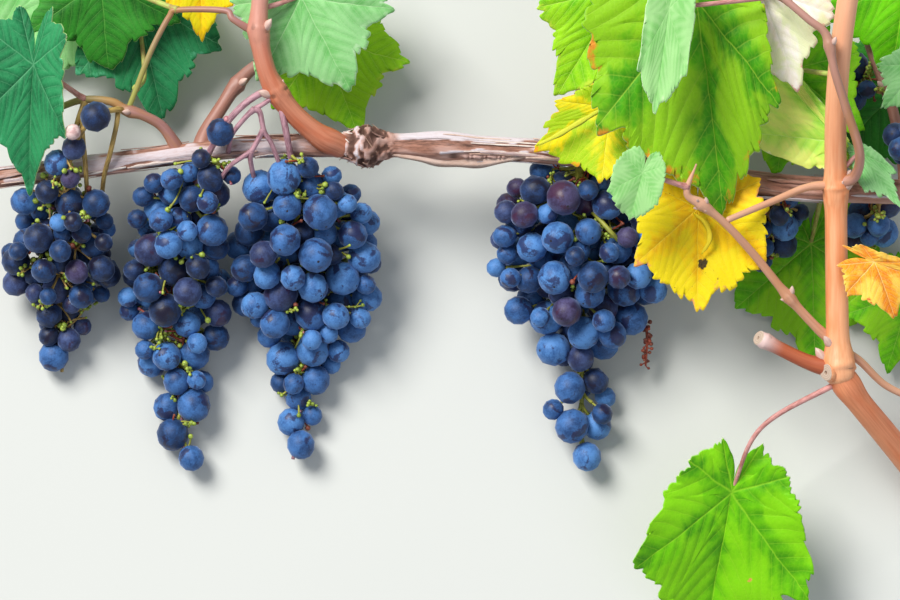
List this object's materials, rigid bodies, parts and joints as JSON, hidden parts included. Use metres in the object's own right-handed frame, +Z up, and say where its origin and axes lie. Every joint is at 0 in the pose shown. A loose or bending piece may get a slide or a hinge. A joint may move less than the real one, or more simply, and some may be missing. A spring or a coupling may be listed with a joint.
{
  "type": "cut grapevine branch",
  "caption": "Cut branch of a grapevine lying flat: a woody cane with a knot, younger shoots, bunches of blue grapes on branching stalks, and lobed, toothed leaves.",
  "frame": {"origin": "the middle of the branch's bounding box, on the surface that the branch lies on", "axes": "+X along the old cane towards its cut base, +Y across the branch towards the tips of the shoots, +Z up from the surface"},
  "size_m": [0.4645, 0.3362, 0.1115],
  "materials": {
    "old_bark": "matt, flaking",
    "young_bark": "smooth, satin",
    "red_stalk": "smooth, satin",
    "grape": "waxy bloom, matt",
    "green_leaf": "matt",
    "dark_leaf": "matt",
    "pale_leaf": "matt",
    "cream_leaf": "matt",
    "yellow_leaf": "matt"
  },
  "bodies": {
    "root": {"old_cane": "old_bark", "fruiting_shoot": "young_bark", "back_shoot": "young_bark", "left_shoot": "red_stalk", "left_runner": "red_stalk", "middle_shoot": "young_bark", "right_shoot": "young_bark", "upright_shoot": "young_bark", "upright_foot": "young_bark", "pruned_stub": "young_bark", "long_lateral": "red_stalk", "short_lateral": "red_stalk", "cross_stalk": "red_stalk", "front_lateral": "red_stalk", "front_bunch": "grape", "centre_bunch": "grape", "left_bunch": "grape", "far_bunch": "grape", "right_bunch": "grape", "end_bunch": "grape", "edge_bunch": "grape", "top_bunch": "grape", "far_left_leaf": "green_leaf", "upper_left_leaf": "dark_leaf", "behind_left_leaf": "dark_leaf", "corner_leaf": "pale_leaf", "small_yellow_leaf": "yellow_leaf", "pale_back_leaf": "pale_leaf", "lime_back_leaf": "green_leaf", "bright_top_leaf": "green_leaf", "big_green_leaf": "green_leaf", "left_yellow_leaf": "yellow_leaf", "low_yellow_leaf": "yellow_leaf", "small_pale_leaf": "pale_leaf", "rolled_pale_leaf": "pale_leaf", "cream_leaf": "cream_leaf", "folded_lime_leaf": "green_leaf", "dark_back_leaf": "dark_leaf", "orange_leaf": "yellow_leaf", "low_green_leaf": "green_leaf", "dark_low_leaf": "dark_leaf", "small_node_leaf": "pale_leaf", "top_right_leaf": "green_leaf", "right_pale_leaf": "pale_leaf", "shaded_right_leaf": "dark_leaf", "low_right_leaf": "green_leaf"}
  },
  "joints": []
}
